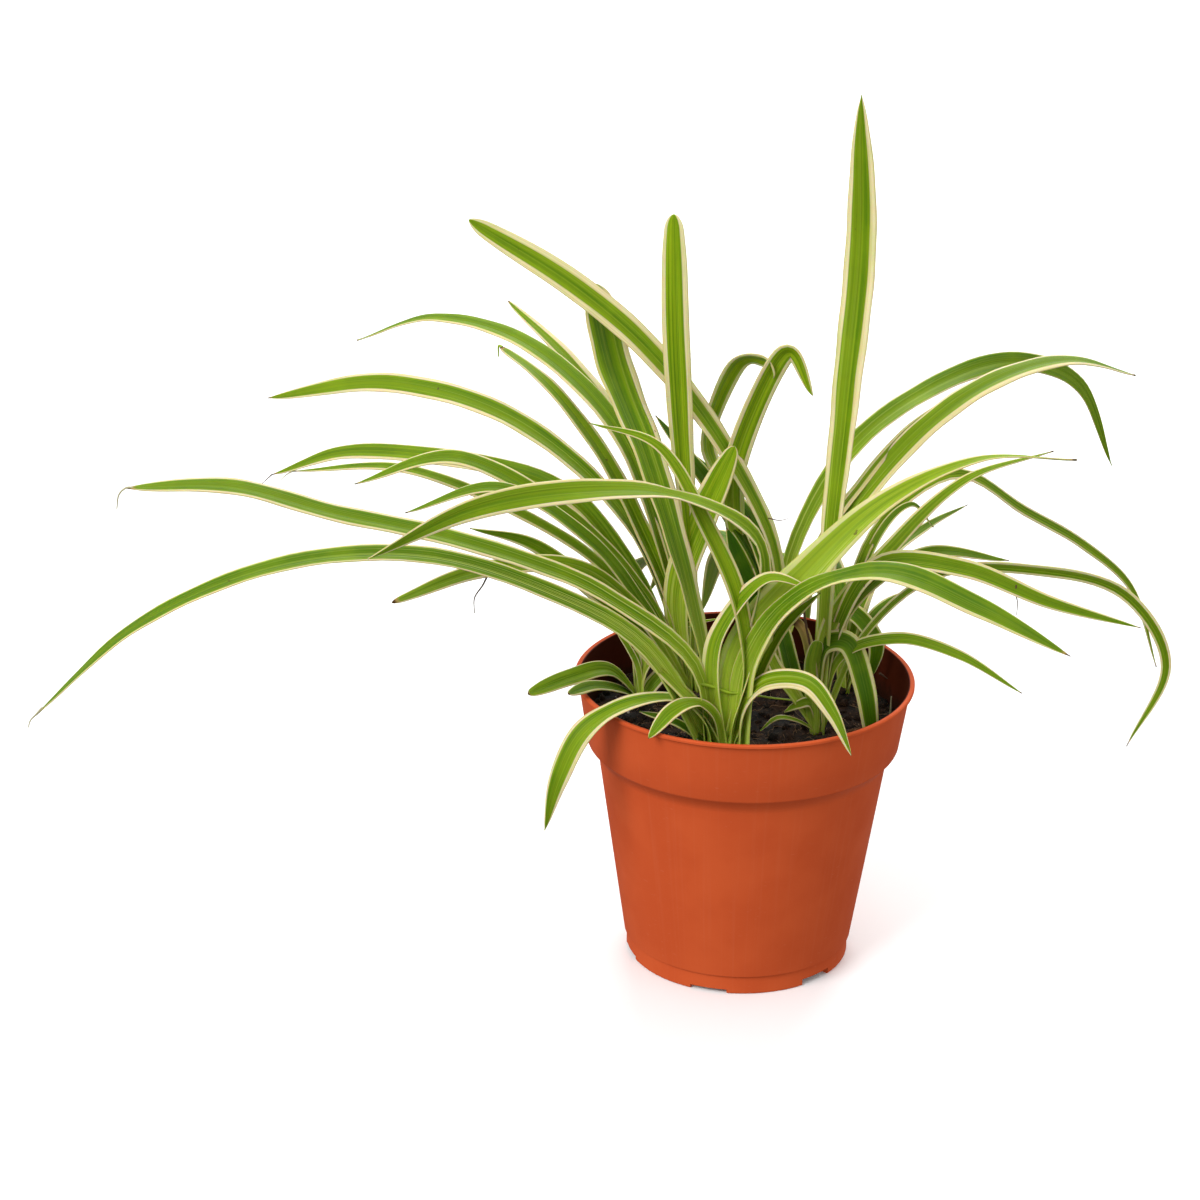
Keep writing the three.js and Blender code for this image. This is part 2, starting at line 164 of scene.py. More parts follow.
LEFT_LEAVES = [
    leaf(150, 11, (20, -65), [(31, 69), (90, 109), (161, 116), (231, 96)],
         taper=5, tip=0.08, widest=0.45, edge=(0.12, 0.15), tone=0.35, dry=0.006),
    leaf(160, 9.5, (-20, -45), [(34, 58), (74, 90), (159, 92), (207, 74)], edge=(0.05, 0.15)),
    leaf(170, 6, (-30, -30), [(34, 48), (73, 75), (131, 95), (184, 90)], edge=(0.1, 0.2), tone=0.45),
    leaf(180, 9.5, (-40, -30), [(23, 44), (58, 83), (106, 109), (151, 96)], edge=(0.08, 0.14), tone=0.45),
    leaf(192, 7.5, (-50, -25), [(22, 39), (48, 75), (88, 102), (130, 93)],
         edge=(0.06, 0.1), tone=0.5, dry=0.008),
    leaf(138, 10.5, (30, -15, -30), [(20, 62), (48, 112), (101, 139), (162, 139), (215, 116)],
         taper=2.2, widest=0.35, edge=(0.03, 0.14), tone=0.45, dry=0.004),
    leaf(146, 10, (-10, 0), [(12, 39), (30, 72), (51, 102), (80, 128), (107, 141)],
         taper=4, tip=0.4, widest=0.35, edge=(0.14, 0.12), tone=0.3),
    leaf(126, 9, (45, -35), [(17, 55), (48, 101), (96, 128), (148, 144)],
         taper=3, tip=0.2, widest=0.4, edge=(0.3, 0.16), tone=0.3, dry=0.006),
    leaf(203, 8.5, (-50, -110), [(24, 32), (47, 53), (77, 80), (107, 92)],
         taper=2.5, widest=0.35, edge=(0.08, 0.16), tone=0.5, dry=0.004),
    leaf(212, 8, (-80, -30), [(28, 41), (62, 71), (109, 79), (153, 73)],
         taper=5, tip=0.3, widest=0.3, edge=(0.08, 0.12), tone=0.35, dry=0.012),
    # This leaf lies in shade: its long pale root is painted light
    leaf(350, 14.5, (60, 80), [(-8, 42), (2, 81), (16, 117)],
         taper=5, tip=0.3, widest=0.45, edge=(0.1, 0.12), tone=0, dry=0, pale=0.6, lines=0.6),
    leaf(170, 12, (0, -105), [(2, 59), (7, 112), (11, 166), (13, 220)],
         taper=10, tip=0.6, widest=0.7, edge=(0.2, 0.16), tone=0, dry=0, lines=0.4),
    leaf(110, 11, (0, 0), [(14, 34), (45, 46), (80, 26), (104, -8)], tone=0.6),
    leaf(330, 4, (60, 60), [(-18, 10), (-15, 24), (-2, 31), (13, 37)], taper=2, tone=0.2, dry=0),
]
CENTRE_LEAVES = [
    leaf(174, 12.5, (-30, -35, -80), [(-3, 57), (18, 105), (51, 150), (89, 183), (136, 211)],
         taper=9, tip=0.4, widest=0.65, edge=(0.22, 0.2), tone=0.35, dry=0, lines=0.4),
    # This leaf and the next face away from the light: their long pale roots are painted light
    leaf(150, 12, (0, 5, -70), [(3, 33), (12, 56), (24, 88), (34, 111), (21, 147), (7, 152), (2, 145)],
         taper=8, tip=0.2, widest=0.6, edge=(0.18, 0.16), tone=0, dry=0, pale=0.7),
    leaf(165, 12, (15, -50, -65), [(7, 38), (17, 73), (17, 108), (-3, 157), (-16, 139)],
         taper=5, tip=0.1, widest=0.6, edge=(0.18, 0.14), tone=0, dry=0, pale=0.7),
    leaf(155, 10.5, (-25, -15), [(1, 46), (27, 86), (58, 119)], edge=(0.1, 0.06), tone=0.85),
    leaf(140, 10.5, (-15, -10), [(-3, 40), (14, 76), (45, 99)], edge=(0.1, 0.06), tone=0.9),
    leaf(200, 12.5, (-70, -70), [(8, 39), (22, 78)], edge=(0.07, 0.07), tone=1, lines=0.2),
    leaf(32, 13, (5, 15), [(19, 45), (46, 78), (81, 107), (120, 124), (164, 127), (205, 113)],
         widest=0.45, edge=(0.24, 0.08), dry=0.006),
    leaf(42, 10.5, (-5, 20, 110), [(13, 60), (47, 101), (97, 119), (153, 121), (204, 99), (233, 51)],
         widest=0.4, edge=(0.05, 0.04), dry=0),
    leaf(37, 5.5, (0, 40), [(28, 60), (52, 86), (76, 105), (99, 116)], taper=2, edge=(0.34, 0.3), tone=0.5),
    leaf(100, 12, (0, 0), [(16, 30), (60, 40), (110, 20), (148, -25)], tone=0.6),
    leaf(78, 11, (0, 0), [(16, 34), (52, 42), (95, 18), (122, -22)], tone=0.6),
    leaf(118, 11, (0, 0), [(15, 40), (45, 56), (85, 38), (112, 4)], tone=0.6),
]
RIGHT_LEAVES = [
    leaf(60, 15.5, (-25, 5), [(3, 77), (13, 145), (22, 213), (16, 280)],
         taper=6, tip=0.05, widest=0.7, edge=(0.22, 0.16), tone=0.35, dry=0, pale=0.3),
    leaf(16, 8, (60, 20), [(2, 45), (29, 81), (62, 110), (103, 120)],
         taper=1.6, widest=0.3, edge=(0.12, 0.16), tone=0.25, pale=0.45),
    leaf(34, 5, (25, 95), [(11, 50), (29, 89), (70, 105), (112, 79), (149, 55), (181, 26), (200, -17)],
         widest=0.3, edge=(0.18, 0.14), tone=0.3, dry=0.006, lines=1),
    leaf(6, 6, (110, 110), [(17, 42), (49, 71), (91, 72), (132, 60), (154, 25), (139, -14)],
         taper=5, widest=0.5, edge=(0.2, 0.2), tone=0.35, lines=0.8),
    leaf(352, 8.5, (40, 80), [(5, 43), (23, 78), (60, 79), (97, 66), (136, 57)],
         taper=3, widest=0.45, edge=(0.14, 0.14), tone=0.35, dry=0.006),
    leaf(20, 7, (25, 40), [(10, 52), (46, 76), (88, 68)], edge=(0.08, 0.12), tone=0.6),
    leaf(334, 5.5, (65, 40), [(8, 34), (34, 49), (63, 47), (92, 35)],
         taper=3, widest=0.45, edge=(0.06, 0.14), tone=0.35, dry=0.008, pale=0.35),
    leaf(330, 10, (85, 30), [(-2, 20), (1, 39), (13, 42), (21, 24), (26, 0)],
         taper=9, tip=0.6, widest=0.5, edge=(0.14, 0.16), tone=0.85, dry=0, pale=0, lines=0.4),
    leaf(190, 5, (-60, -20), [(4, 11), (10, 11), (16, 8)],
         taper=3, widest=0.5, edge=(0.14, 0.18), tone=0.3, dry=0, pale=0.3),
    leaf(200, 3, (-15, -25), [(10, 4), (20, 7), (28, 2)], taper=3, widest=0.4, tone=0.2, dry=0, pale=0.3),
    leaf(175, 8, (-35, -40), [(12, 16), (21, 29), (27, 45)],
         taper=3, tip=0.3, widest=0.5, edge=(0.2, 0.12), tone=0.1, dry=0, pale=0.9),
    leaf(150, 9, (-35, -20), [(12, 17), (20, 40), (29, 59)],
         taper=5, tip=0.2, widest=0.5, edge=(0.1, 0.1), tone=0.9, dry=0, lines=0.3),
    leaf(180, 7.5, (90, 90), [(3, 13), (4, 29), (2, 41)],
         root=(-2, -2), taper=8, tip=0.5, edge=(0.08, 0.08), tone=0, dry=0, pale=0.9, lines=1),
    leaf(30, 4, (0, 60), [(10, 45), (26, 84), (43, 97), (56, 84)], taper=2, tone=0.7),
    leaf(170, 5, (60, 90), [(3, 20), (7, 41), (12, 49), (16, 46)], tone=1, dry=0.4, pale=0.05),
]
BACK_LEAVES = [
    leaf(330, 8, (85, 50), [(-2, 32), (4, 38), (15, 27), (14, 10)],
         taper=6, tip=0.2, widest=0.4, edge=(0.12, 0.1), tone=0.8, dry=0, lines=0.3),
    leaf(48, 6, (-15, 45), [(9, 34), (27, 55), (58, 63), (88, 65)],
         taper=2, widest=0.35, edge=(0.16, 0.12), tone=0.6, dry=0.02),
    leaf(25, 7, (25, 20), [(13, 31), (32, 43)], tone=0.7),
    leaf(70, 11, (0, 0), [(14, 30), (46, 42), (84, 32)], tone=0.7),
    leaf(100, 9, (0, 0), [(10, 36), (30, 50), (56, 40), (74, 12)], tone=0.7),
]
OFFSET_LEAVES = [
    leaf(218, 8.5, (-35, -30), [(17, 15), (39, 17), (62, 15)],
         taper=6, tip=0.3, edge=(0.04, 0.07), tone=0.35, dry=0.008, pale=0.15, lines=0.2),
    leaf(236, 6.5, (-30, -30), [(18, 8), (37, 16), (56, 19)],
         taper=6, tip=0.3, edge=(0.08, 0.16), tone=0.65, dry=0.006, pale=0.15),
    leaf(120, 5, (0, 0), [(2, 10), (5, 20)], tone=0.1, pale=0.8),
    leaf(30, 5, (0, 0), [(2, 9), (8, 17)], tone=0.1, pale=0.8),
    leaf(60, 4.5, (0, 0), [(0, 6), (4, 13), (7, 22)], root=(1, -4), tone=0, dry=0, pale=1, lines=1),
    leaf(150, 3, (-40, -40), [(1, 11), (6, 20), (12, 26)], root=(1, -3), tone=0.3, dry=0, pale=0.6),
    leaf(20, 7, (70, 40), [(5, 2), (11, 8), (15, 10)], root=(1, -4), tip=0.3, tone=0.2, dry=0),
]

# Each crown's centre in plan, and how far it stands above the others
CROWNS = {
    "crown_front": {"at": (-9, -40), "lift": 0, "leaves": FRONT_LEAVES},
    "crown_left": {"at": (-22, 28), "lift": 0, "leaves": LEFT_LEAVES},
    "crown_centre": {"at": (12, 35), "lift": 0, "leaves": CENTRE_LEAVES},
    "crown_right": {"at": (33, -12), "lift": 0, "leaves": RIGHT_LEAVES},
    "crown_back": {"at": (46, 30), "lift": 0, "leaves": BACK_LEAVES},
    "crown_offset": {"at": (-46, 12), "lift": 5, "leaves": OFFSET_LEAVES},
}

# Dry threads at the leaves' tips and twigs among them, each in an upright plane as a leaf's is:
# the crown, its direction, the places it passes, and how thick it starts
DARK_THREADS = [
    ("crown_left", 212, [(106, 77), (109, 72), (113, 67), (113, 60)], 0.9),
    ("crown_centre", 0, [(-2, 80), (3, 79), (7, 80)], 0.6),
    ("crown_centre", 0, [(-11, 81), (-9, 74), (-10, 69)], 0.6),
    ("crown_right", 352, [(82, 73), (82, 69), (83, 65), (83, 59)], 0.7),
    ("crown_right", 170, [(3, 0), (4, 28), (6, 41), (8, 50), (9, 57)], 2.2),
    ("crown_left", 160, [(207, 74), (210, 71), (213, 68)], 0.6),
    ("crown_right", 40, [(36, 16), (41, 12)], 1.1),
]
PALE_THREADS = [
    ("crown_front", 198, [(293, 57), (296, 54), (298, 52), (299, 49)], 1),
    ("crown_front", 188, [(249, 131), (252, 131), (255, 128), (256, 122)], 1.1),
    ("crown_left", 170, [(184, 90), (187, 88), (190, 85)], 0.7),
    ("crown_right", 0, [(31, 2), (31, 15)], 1.2),
    ("crown_right", 0, [(23, 2), (25, 14)], 1),
    ("crown_left", 340, [(14, 6), (24, 9), (34, 6)], 0.8),
]
GREEN_THREADS = [
    ("crown_left", 146, [(106, 141), (108, 141), (108, 136)], 1.4),
    ("crown_front", 0, [(-12, 32), (-7, 31), (1, 28), (7, 28), (18, 26), (28, 25)], 1.8),
]

# A blade's faces along and across it, and how much closer they stand towards its tip
BLADE_STEPS = 56
BLADE_LANES = 14
TIP_CROWDING = 1.6
# The share of its length from which a blade narrows, and the share that is rounded off at its end
TAPER_FROM = 0.35
END_ROUNDING = 0.03
# How steep the fold along its middle is at its foot and its tip, and how softly it turns
FOLD_AT_BASE = 0.45
FOLD_AT_TIP = 0.12
FOLD_ROUNDING = 0.18
# How far its halves bulge and its edges ripple, as shares of half its width, how long a ripple is,
# and how far one edge's ripple is behind the other's, in radians
CHEEK = 0.07
RIPPLE = 0.035
RIPPLE_LENGTH = 28
RIPPLE_LAG = 1.9
FULL_TURN = 6.28
# How fast it thins from its middle to its edges
THINNING = 1.5
THREAD_STEPS = 14


def spine(points, share):
    """A point on the smooth curve through the given points, at a share of its spans"""
    spans = len(points) - 1
    place = min(max(share, 0), 1) * spans
    first = min(int(place), spans - 1)
    t = place - first
    start = points[first]
    end = points[first + 1]
    before = points[first - 1] if first > 0 else start * 2 - end
    after = points[first + 2] if first + 2 <= spans else end * 2 - start
    leave = (end - before) / 2
    arrive = (after - start) / 2
    return (
        (start * 2 - end * 2 + leave + arrive) * t**3
        + (end * 3 - start * 3 - leave * 2 - arrive) * t**2
        + leave * t
        + start
    )


def eased(value, low, high):
    """A soft step from 0 at low to 1 at high"""
    t = min(max((value - low) / (high - low), 0), 1)
    return t * t * (3 - 2 * t)


def width_at(share, row):
    """The share of its full width that a leaf has at a share of its length, with a rounded end"""
    base = row["foot"] + (1 - row["foot"]) * eased(share, 0, row["widest"])
    late = max(0, (share - TAPER_FROM) / (1 - TAPER_FROM))
    end = max(0, 1 - ((share - 1 + END_ROUNDING) / END_ROUNDING) ** 2) if share > 1 - END_ROUNDING else 1
    return base * (1 - (1 - row["tip"]) * late ** row["taper"]) * math.sqrt(end)


def roll_at(share, roll):
    """How far the blade is turned at a share of its length, in radians"""
    place = share * (len(roll) - 1)
    first = min(int(place), len(roll) - 2)
    return math.radians(roll[first] + (roll[first + 1] - roll[first]) * (place - first))


def spine_points(crown, row):
    """The places in metres that a leaf's middle passes, from inside its crown to its tip"""
    x, y = crown["at"]
    angle = math.radians(row["toward"])
    root = Vector((x, y, ROOT_LEVEL + crown["lift"]))
    out = Vector((math.cos(angle), math.sin(angle), 0))
    places = [(0, LEAF_START), *row["by"]]
    points = [root + out * reach + Vector((0, 0, height)) for reach, height in places]
    points[0] += Vector((*row["root"], 0))
    return [point * MM for point in points]


def frame_at(points, row, share):
    """The middle of a leaf at a share of its length, with its sideways and its upward direction"""
    angle = math.radians(row["toward"])
    across = Vector((-math.sin(angle), math.cos(angle), 0))
    step = 0.0005
    ahead = (spine(points, share + step) - spine(points, share - step)).normalized()
    up = ahead.cross(across)
    roll = roll_at(share, row["roll"])
    side = across * math.cos(roll) + up * math.sin(roll)
    face = up * math.cos(roll) - across * math.sin(roll)
    return spine(points, share), side, face


def deselect_all():
    if bpy.context.object and bpy.context.object.mode != "OBJECT":
        bpy.ops.object.mode_set(mode="OBJECT")
    bpy.ops.object.select_all(action="DESELECT")


def new_object(name, data):
    thing = bpy.data.objects.new(name, data)
    bpy.context.collection.objects.link(thing)
    return thing


def select_only(thing):
    deselect_all()
    thing.select_set(True)
    bpy.context.view_layer.objects.active = thing


def apply_modifiers(thing):
    select_only(thing)
    for modifier in list(thing.modifiers):
        bpy.ops.object.modifier_apply(modifier=modifier.name)


def join(things, name):
    deselect_all()
    for thing in things:
        thing.select_set(True)
    bpy.context.view_layer.objects.active = things[0]
    if len(things) > 1:
        bpy.ops.object.join()
    whole = bpy.context.view_layer.objects.active
    whole.name = name
    whole.data.name = name
    return whole


def settle(piece, material, angle=None):
    """Rides a finished piece on the plant, with its finish and its shading"""
    piece.data.materials.clear()
    piece.data.materials.append(material)
    select_only(piece)
    if angle is None:
        bpy.ops.object.shade_smooth()
    else:
        bpy.ops.object.shade_smooth_by_angle(angle=math.radians(angle))
    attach(piece, "root")


def start_curve(name, thickness, sides, caps=False):
    """An empty curve with a round section, for threads"""
    curve = bpy.data.curves.new(name, "CURVE")
    curve.dimensions = "3D"
    curve.bevel_depth = thickness / 2
    curve.bevel_resolution = sides
    curve.use_fill_caps = caps
    return curve


def curve_to_mesh(curve):
    select_only(new_object(curve.name, curve))
    bpy.ops.object.convert(target="MESH")
    return bpy.context.object


def model_blade():
    """One flat blade, from which every leaf is copied: 2 long, 2 wide, finer towards its tip"""
    deselect_all()
    bpy.ops.mesh.primitive_grid_add(
        x_subdivisions=BLADE_STEPS, y_subdivisions=BLADE_LANES, size=2, calc_uvs=True
    )
    blade = bpy.context.object
    blade.name = "blade"
    blade.data.uv_layers[0].name = "blade_map"
    for vertex in blade.data.vertices:
        vertex.co.x = 1 - 2 * ((1 - vertex.co.x) / 2) ** TIP_CROWDING
    for corner in blade.data.uv_layers[0].data:
        corner.uv.x = 1 - (1 - corner.uv.x) ** TIP_CROWDING
    sheet = blade.modifiers.new("sheet", "SOLIDIFY")
    sheet.thickness = 1
    sheet.offset = 0
    apply_modifiers(blade)
    return blade


def bend_blade(blade, crown, row, seed, look):
    """A copy of the blade, tapered, folded and bent along one leaf's spine"""
    mesh = blade.data.copy()
    points = spine_points(crown, row)
    chance = random.Random(seed)
    phase = chance.uniform(0, FULL_TURN)
    waves = sum((b - a).length for a, b in zip(points, points[1:])) / (RIPPLE_LENGTH * MM)
    frames = {}
    under = []
    for vertex in mesh.vertices:
        share = round((vertex.co.x + 1) / 2, 5)
        w = vertex.co.y
        upper = vertex.co.z > 0
        if share not in frames:
            frames[share] = frame_at(points, row, share)
        middle, side, face = frames[share]
        half = max(row["wide"] * MM * width_at(share, row), look.edge_thickness) / 2
        fold = FOLD_AT_BASE + (FOLD_AT_TIP - FOLD_AT_BASE) * share
        valley = math.sqrt(w * w + FOLD_ROUNDING**2) - FOLD_ROUNDING
        lift = half * fold * (valley - 0.5)
        lift += half * CHEEK * math.sin(math.pi * abs(w))
        wave = waves * share * FULL_TURN + phase + (RIPPLE_LAG if w > 0 else 0)
        lift += half * RIPPLE * math.sin(wave) * w * w
        thick = look.edge_thickness + (look.thickness - look.edge_thickness) * (1 - abs(w)) ** THINNING
        lift += thick * (0.5 if upper else -0.5)
        vertex.co = middle + side * (w * half) + face * lift
        under.append(0 if upper else 1)
    count = len(mesh.vertices)
    keep_attribute(mesh, "margins", "FLOAT_COLOR", "color", (*row["edge"], row["tone"], 1) * count)
    growth = (row["dry"], row["pale"], chance.random(), row["lines"])
    keep_attribute(mesh, "growth", "FLOAT_COLOR", "color", growth * count)
    keep_attribute(mesh, "under", "FLOAT", "value", under)
    return new_object("leaf", mesh)


def keep_attribute(mesh, name, kind, field, values):
    made = mesh.attributes.new(name, kind, "POINT")
    made.data.foreach_set(field, values)


# Node-tree helpers

# How far apart the nodes are laid out, on how many rows, and the column where a shader stands
NODE_WIDTH = 200
NODE_HEIGHT = 180
NODE_ROWS = 16
SHADER_COLUMN = 24


def add_node(tree, kind, inputs=(), **settings):
    """A new node on the next row of the layout, with what goes into its named or numbered sockets"""
    made = tree.nodes.new(kind)
    made.location.y = -NODE_HEIGHT * (len(tree.nodes) % NODE_ROWS)
    for name, value in settings.items():
        setattr(made, name, value)
    for socket, value in inputs:
        feed(tree, made.inputs[socket], value)
    return made


def feed(tree, socket, value):
    """Sets a socket, or links it and moves its node to the right of the one that feeds it"""
    if isinstance(value, bpy.types.NodeSocket):
        tree.links.new(value, socket)
        socket.node.location.x = max(socket.node.location.x, value.node.location.x + NODE_WIDTH)
    else:
        socket.default_value = value


def maths(tree, operation, first, second, clamp=False):
    inputs = [(0, first), (1, second)]
    return add_node(tree, "ShaderNodeMath", inputs, operation=operation, use_clamp=clamp).outputs[0]


def times(tree, first, second):
    return maths(tree, "MULTIPLY", first, second)


def plus(tree, first, second):
    return maths(tree, "ADD", first, second)


def minus(tree, first, second):
    return maths(tree, "SUBTRACT", first, second)


def blend(tree, share, first, second):
    """The first colour where the share is 0, and the second where it is 1"""
    inputs = [(0, share), (6, first), (7, second)]
    return add_node(tree, "ShaderNodeMix", inputs, data_type="RGBA").outputs[2]


def layered(tree, surface, layers):
    """A colour with others laid over it in turn, each by its own share"""
    for share, over in layers:
        surface = blend(tree, share, surface, over)
    return surface


def ramp(tree, value, low, high, to_low=0, to_high=1):
    """A soft step from to_low, where the value is low, to to_high, where it is high"""
    inputs = [("Value", value), ("From Min", low), ("From Max", high)]
    inputs += [("To Min", to_low), ("To Max", to_high)]
    return add_node(tree, "ShaderNodeMapRange", inputs, interpolation_type="SMOOTHSTEP").outputs[0]


def vector_of(tree, x, y, z):
    return add_node(tree, "ShaderNodeCombineXYZ", [(0, x), (1, y), (2, z)]).outputs[0]


def parts_of(tree, value, kind="ShaderNodeSeparateXYZ"):
    """The three parts of a vector, or of a colour where the kind says so"""
    return add_node(tree, kind, [(0, value)]).outputs


def noise_of(tree, vector, scale, detail, roughness=0.5):
    inputs = [("Vector", vector), ("Scale", scale), ("Detail", detail), ("Roughness", roughness)]
    return add_node(tree, "ShaderNodeTexNoise", inputs).outputs[0]


def stretched_noise(tree, across, across_scale, along, along_scale, shift, detail):
    """Noise with one scale across the surface and another along it"""
    place = vector_of(tree, times(tree, across, across_scale), times(tree, along, along_scale), shift)
    return noise_of(tree, place, 1, detail)


def object_place(tree):
    return add_node(tree, "ShaderNodeTexCoord").outputs["Object"]


def start_material(name, *inputs):
    """A new material with its shader, and what goes into the shader's named sockets"""
    material = bpy.data.materials.new(name)
    material.use_nodes = True
    tree = material.node_tree
    shader = tree.nodes["Principled BSDF"]
    shader.location = (SHADER_COLUMN * NODE_WIDTH, 0)
    tree.nodes["Material Output"].location = ((SHADER_COLUMN + 2) * NODE_WIDTH, 0)
    for socket, value in inputs:
        feed(tree, shader.inputs[socket], value)
    return material, tree, shader


def add_bump(tree, shader, height, depth, strength):
    inputs = [("Strength", strength), ("Distance", depth), ("Height", height)]
    feed(tree, shader.inputs["Normal"], add_node(tree, "ShaderNodeBump", inputs).outputs[0])


VEIN_SHADE = (0, 0, 0, 1)


def leaf_material(look):
    """Green blade with cream margins, lengthwise veins, a pale root and a dried tip"""
    material, tree, shader = start_material(
        "variegated_leaf", ("Specular IOR Level", 0.12), ("Subsurface Weight", 0.5),
        ("Subsurface Radius", (0.45, 1, 0.08)), ("Subsurface Scale", 0.001),
    )
    along, across, _ = parts_of(tree, add_node(tree, "ShaderNodeUVMap", uv_map="blade_map").outputs[0])
    margins = add_node(tree, "ShaderNodeAttribute", attribute_name="margins")
    first_edge, second_edge, tone = parts_of(tree, margins.outputs["Color"], "ShaderNodeSeparateColor")
    growth = add_node(tree, "ShaderNodeAttribute", attribute_name="growth")
    dry, pale, seed = parts_of(tree, growth.outputs["Color"], "ShaderNodeSeparateColor")
    lines = growth.outputs["Alpha"]
    under = add_node(tree, "ShaderNodeAttribute", attribute_name="under").outputs["Fac"]
    shift = times(tree, seed, 60)
    place = object_place(tree)

    # The margins wander a little, and the green starts inside them
    wander = noise_of(tree, vector_of(tree, times(tree, along, 5), shift, 0), 1, 1)
    place_across = plus(tree, across, times(tree, minus(tree, wander, 0.5), 0.1))
    low_side = minus(tree, place_across, first_edge)
    high_side = minus(tree, minus(tree, 1, place_across), second_edge)
    inside = maths(tree, "MINIMUM", low_side, high_side)
    green_zone = ramp(tree, inside, -0.018, 0.022)

    broad = stretched_noise(tree, across, 7, along, 1.3, shift, 2)
    fine = stretched_noise(tree, across, 24, along, 1.1, shift, 2)
    veins = stretched_noise(tree, across, 95, along, 1.5, shift, 1)
    streak = times(tree, ramp(tree, fine, 0.57, 0.65), lines)
    green = layered(tree, look.green, [
        (ramp(tree, broad, 0.35, 0.65), look.light_green),
        (ramp(tree, fine, 0.46, 0.62, 0, 0.7), look.light_green),
        (ramp(tree, fine, 0.32, 0.46, 0.4, 0), look.dark_and_shaded_green),
        # Darker green by each leaf's tone: older leaves' green, and painted shade on leaves deep in the clump
        (tone, look.dark_and_shaded_green),
        (ramp(tree, veins, 0.3, 0.7, 0.2, 0), VEIN_SHADE),
        (times(tree, streak, ramp(tree, along, 0, 0.75, 1, 0.15)), look.streak),
        (ramp(tree, inside, 0, 0.11, 0.45, 0), look.light_green),
    ])
    cream = layered(tree, look.cream, [
        (ramp(tree, fine, 0.3, 0.75), look.shaded_cream),
        (ramp(tree, tone, 0.4, 1, 0, 0.25), look.light_green),
    ])

    # The root is pale and striped, and the tip dries tan and then brown from a ragged start
    root = ramp(tree, along, 0, pale, 0.8, 0)
    reach = plus(tree, along, times(tree, minus(tree, fine, 0.5), 0.02))
    dry_start = minus(tree, 1, dry)
    tan_start = minus(tree, dry_start, times(tree, dry, 0.9))
    brown_end = plus(tree, dry_start, times(tree, dry, 0.4))
    has_tip = ramp(tree, dry, 0.001, 0.003)
    browned = times(tree, ramp(tree, reach, dry_start, brown_end), has_tip)
    outer = maths(tree, "MINIMUM", across, minus(tree, 1, across))
    surface = layered(tree, blend(tree, green_zone, cream, green), [
        (times(tree, green_zone, ramp(tree, inside, 0.012, 0.05, 0.4, 0)), look.dark_and_shaded_green),
        (ramp(tree, outer, 0, 0.035, 0.45, 0), look.tan),
        (root, look.root_green),
        (times(tree, root, ramp(tree, fine, 0.52, 0.62, 0, 0.55)), look.streak),
        (times(tree, root, ramp(tree, fine, 0.34, 0.44, 0.45, 0)), look.green),
        (times(tree, under, 0.3), look.underside),
        (ramp(tree, noise_of(tree, place, 210, 2), 0.76, 0.79, 0, 0.75), look.brown),
        (ramp(tree, noise_of(tree, place, 45, 3), 0.45, 0.75, 0, 0.22), look.light_green),
        (times(tree, ramp(tree, reach, tan_start, dry_start, 0, 0.8), has_tip), look.tan),
        (browned, look.brown),
    ])
    feed(tree, shader.inputs["Base Color"], surface)

    gloss = ramp(tree, broad, 0.3, 0.7, look.roughness - 0.05, look.roughness + 0.08)
    feed(tree, shader.inputs["Roughness"], maths(tree, "ADD", gloss, browned, clamp=True))
    height = plus(tree, times(tree, fine, 0.7), times(tree, veins, 0.3))
    add_bump(tree, shader, height, 0.0006, 0.5)
    return material


# Inside the pot: the middle of its collar's wall widens by a fixed share of its height, from a radius
# at the floor. The collar starts at one height, and the dirt on it thins out between two.
COLLAR_SLOPE = 0.158
COLLAR_MIDDLE = 52.16
COLLAR_START = 104
DIRT_ENDS = (118, 126)
DIRT_WANDER = 12


